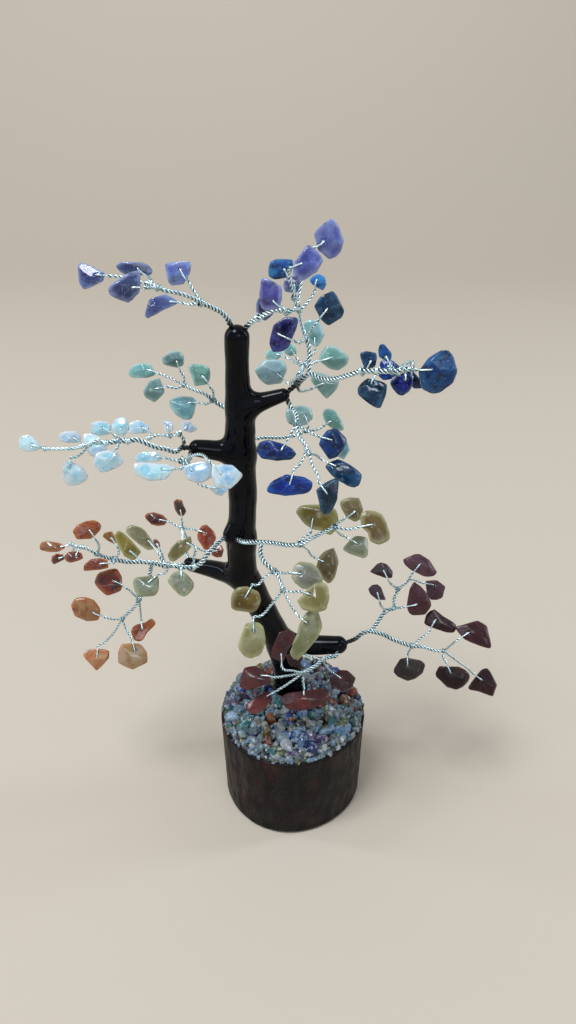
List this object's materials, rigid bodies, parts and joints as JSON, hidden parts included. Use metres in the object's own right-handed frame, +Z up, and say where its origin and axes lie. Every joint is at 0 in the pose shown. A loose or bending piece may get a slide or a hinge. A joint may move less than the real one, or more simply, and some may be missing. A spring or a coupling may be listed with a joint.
{
  "type": "gemstone tree ornament",
  "caption": "Small tree of twisted wire branches tipped with drilled tumbled gemstones, on a resin-coated trunk set in a log base with a gem gravel bed.",
  "frame": {"origin": "centre of the log's flat underside", "axes": "+Z up along the tree, -Y towards the viewer, +X to the viewer's right"},
  "size_m": [0.1866, 0.0933, 0.245],
  "materials": {
    "bark_wood": "rough dark bark with a reddish stripe, oiled",
    "clear_glue": "clear cast resin glue",
    "black_resin": "glossy black resin, hand dripped",
    "core_wire": "bundled steel wire",
    "silver_wire": "bright silver-plated craft wire, twisted",
    "amethyst": "tumbled, polished",
    "lapis": "tumbled, polished, opaque",
    "aventurine": "tumbled, polished, slightly cloudy",
    "clear_quartz": "tumbled, polished, clear",
    "yellow_jade": "tumbled, polished, waxy",
    "carnelian": "tumbled, polished",
    "red_jasper": "tumbled, satin, opaque",
    "gem_white": "tumbled chips",
    "gem_clear": "tumbled chips",
    "gem_pale_blue": "tumbled chips",
    "gem_deep_blue": "tumbled chips",
    "gem_orange": "tumbled chips",
    "gem_green": "tumbled chips",
    "gem_purple": "tumbled chips"
  },
  "bodies": {
    "root": {"log_base": "bark_wood", "glue_bed": "clear_glue", "trunk_coat": "black_resin", "wire_armature": "core_wire", "gravel_white": "gem_white", "gravel_clear_quartz": "gem_clear", "gravel_pale_blue": "gem_pale_blue", "gravel_deep_blue": "gem_deep_blue", "gravel_orange": "gem_orange", "gravel_green": "gem_green", "gravel_purple": "gem_purple"},
    "amethyst_left_branch": {"amethyst_left_wire": "silver_wire", "amethyst_left_stones": "amethyst"},
    "amethyst_right_branch": {"amethyst_right_wire": "silver_wire", "amethyst_right_stones": "amethyst"},
    "upper_right_branch": {"upper_right_wire": "silver_wire", "lapis_upper_stones": "lapis", "aventurine_right_stones": "aventurine", "lapis_right_stones": "lapis"},
    "lapis_lower_branch": {"lapis_lower_wire": "silver_wire", "lapis_lower_stones": "lapis"},
    "lapis_lower_hanging_long": {"lapis_lower_hanging_long": "lapis"},
    "lapis_lower_hanging_dark": {"lapis_lower_hanging_dark": "lapis"},
    "aventurine_low_branch": {"aventurine_low_wire": "silver_wire", "aventurine_low_stones": "aventurine"},
    "aventurine_left_branch": {"aventurine_left_wire": "silver_wire", "aventurine_left_stones": "aventurine"},
    "quartz_left_branch": {"quartz_left_wire": "silver_wire", "quartz_left_stones": "clear_quartz"},
    "quartz_hanging_outer": {"quartz_hanging_outer": "clear_quartz"},
    "quartz_hanging_inner": {"quartz_hanging_inner": "clear_quartz"},
    "quartz_lower_branch": {"quartz_lower_wire": "silver_wire", "quartz_lower_stones": "clear_quartz"},
    "yellow_right_branch": {"yellow_right_wire": "silver_wire", "yellow_right_stones": "yellow_jade", "yellow_lower_stones": "yellow_jade"},
    "yellow_hanging_ochre": {"yellow_hanging_ochre": "yellow_jade"},
    "yellow_hanging_pale": {"yellow_hanging_pale": "yellow_jade"},
    "yellow_left_branch": {"yellow_left_wire": "silver_wire", "yellow_left_stones": "yellow_jade"},
    "carnelian_left_branch": {"carnelian_left_wire": "silver_wire", "carnelian_left_stones": "carnelian", "carnelian_lower_stones": "carnelian"},
    "carnelian_hanging_peach": {"carnelian_hanging_peach": "carnelian"},
    "carnelian_hanging_pale": {"carnelian_hanging_pale": "carnelian"},
    "carnelian_back_branch": {"carnelian_back_wire": "silver_wire", "carnelian_back_stones": "carnelian"},
    "jasper_right_branch": {"jasper_right_wire": "silver_wire", "jasper_upper_stones": "red_jasper", "jasper_right_stones": "red_jasper"},
    "jasper_hanging_inner": {"jasper_hanging_inner": "red_jasper"},
    "jasper_hanging_outer": {"jasper_hanging_outer": "red_jasper"},
    "jasper_front_branch": {"jasper_front_wire": "silver_wire", "jasper_front_stones": "red_jasper"}
  },
  "joints": [
    {"name": "amethyst_left_bend", "type": "hinge", "parent": "root", "child": "amethyst_left_branch", "pos_m": [-0.02012, -0.00055, 0.21156], "axis": [0, 0, 1], "range_deg": [-6, 6]},
    {"name": "amethyst_right_bend", "type": "hinge", "parent": "root", "child": "amethyst_right_branch", "pos_m": [-0.01549, 0, 0.21085], "axis": [0, 0, 1], "range_deg": [-6, 6]},
    {"name": "upper_right_bend", "type": "hinge", "parent": "root", "child": "upper_right_branch", "pos_m": [-0.00159, 0.002, 0.18857], "axis": [0, 0, 1], "range_deg": [-4, 4]},
    {"name": "lapis_lower_bend", "type": "hinge", "parent": "root", "child": "lapis_lower_branch", "pos_m": [-0.00217, 0.00109, 0.18544], "axis": [0, 0, 1], "range_deg": [-5, 5]},
    {"name": "lapis_lower_hanging_long_swing", "type": "hinge", "parent": "lapis_lower_branch", "child": "lapis_lower_hanging_long", "pos_m": [-0.00124, -0.01974, 0.16529], "axis": [-0.0037, -0.9746, 0.224], "range_deg": [-8, 8]},
    {"name": "lapis_lower_hanging_dark_swing", "type": "hinge", "parent": "lapis_lower_branch", "child": "lapis_lower_hanging_dark", "pos_m": [0.0103, -0.02684, 0.16551], "axis": [0.0753, -0.9504, 0.3017], "range_deg": [-8, 8]},
    {"name": "aventurine_low_bend", "type": "hinge", "parent": "root", "child": "aventurine_low_branch", "pos_m": [-0.01785, 0.01864, 0.16751], "axis": [0, 0, 1], "range_deg": [-4, 4]},
    {"name": "aventurine_left_bend", "type": "hinge", "parent": "root", "child": "aventurine_left_branch", "pos_m": [-0.02188, 0.01957, 0.17165], "axis": [0, 0, 1], "range_deg": [-5, 5]},
    {"name": "quartz_left_bend", "type": "hinge", "parent": "root", "child": "quartz_left_branch", "pos_m": [-0.03721, -0.00263, 0.16936], "axis": [0, 0, 1], "range_deg": [-4, 4]},
    {"name": "quartz_hanging_outer_swing", "type": "hinge", "parent": "quartz_left_branch", "child": "quartz_hanging_outer", "pos_m": [-0.07505, -0.01372, 0.1677], "axis": [0.1566, -0.9618, 0.2245], "range_deg": [-8, 8]},
    {"name": "quartz_hanging_inner_swing", "type": "hinge", "parent": "quartz_left_branch", "child": "quartz_hanging_inner", "pos_m": [-0.06, -0.01765, 0.1727], "axis": [0.368, -0.8864, 0.2808], "range_deg": [-8, 8]},
    {"name": "quartz_lower_bend", "type": "hinge", "parent": "root", "child": "quartz_lower_branch", "pos_m": [-0.0353, -0.00395, 0.16818], "axis": [0, 0, 1], "range_deg": [-4, 4]},
    {"name": "yellow_right_bend", "type": "hinge", "parent": "root", "child": "yellow_right_branch", "pos_m": [-0.02121, -0.00266, 0.1322], "axis": [0, 0, 1], "range_deg": [-4, 4]},
    {"name": "yellow_hanging_ochre_swing", "type": "hinge", "parent": "yellow_right_branch", "child": "yellow_hanging_ochre", "pos_m": [-0.0169, -0.02142, 0.11983], "axis": [-0.0659, -0.902, 0.4267], "range_deg": [-8, 8]},
    {"name": "yellow_hanging_pale_swing", "type": "hinge", "parent": "yellow_right_branch", "child": "yellow_hanging_pale", "pos_m": [-0.0143, -0.02932, 0.11079], "axis": [0.1791, -0.8796, 0.4408], "range_deg": [-8, 8]},
    {"name": "yellow_left_bend", "type": "hinge", "parent": "root", "child": "yellow_left_branch", "pos_m": [-0.02481, -0.00278, 0.13244], "axis": [0, 0, 1], "range_deg": [-4, 4]},
    {"name": "carnelian_left_bend", "type": "hinge", "parent": "root", "child": "carnelian_left_branch", "pos_m": [-0.04404, 0.01476, 0.10834], "axis": [0, 0, 1], "range_deg": [-4, 4]},
    {"name": "carnelian_hanging_peach_swing", "type": "hinge", "parent": "carnelian_left_branch", "child": "carnelian_hanging_peach", "pos_m": [-0.08161, 0.00366, 0.07023], "axis": [0.1841, -0.8787, 0.4405], "range_deg": [-8, 8]},
    {"name": "carnelian_hanging_pale_swing", "type": "hinge", "parent": "carnelian_left_branch", "child": "carnelian_hanging_pale", "pos_m": [-0.06525, 0.00116, 0.07512], "axis": [0.3369, -0.8126, 0.4756], "range_deg": [-8, 8]},
    {"name": "carnelian_back_bend", "type": "hinge", "parent": "root", "child": "carnelian_back_branch", "pos_m": [-0.04249, 0.01856, 0.1081], "axis": [0, 0, 1], "range_deg": [-4, 4]},
    {"name": "jasper_right_bend", "type": "hinge", "parent": "root", "child": "jasper_right_branch", "pos_m": [0.02233, 0.00345, 0.07727], "axis": [0, 0, 1], "range_deg": [-4, 4]},
    {"name": "jasper_hanging_inner_swing", "type": "hinge", "parent": "jasper_right_branch", "child": "jasper_hanging_inner", "pos_m": [0.04847, 0.00318, 0.06571], "axis": [-0.264, -0.8278, 0.495], "range_deg": [-8, 8]},
    {"name": "jasper_hanging_outer_swing", "type": "hinge", "parent": "jasper_right_branch", "child": "jasper_hanging_outer", "pos_m": [0.06484, -0.00289, 0.06736], "axis": [-0.1185, -0.8774, 0.4649], "range_deg": [-8, 8]},
    {"name": "jasper_front_bend", "type": "hinge", "parent": "root", "child": "jasper_front_branch", "pos_m": [0.01855, 0.0003, 0.07538], "axis": [0, 0, 1], "range_deg": [-4, 4]}
  ]
}
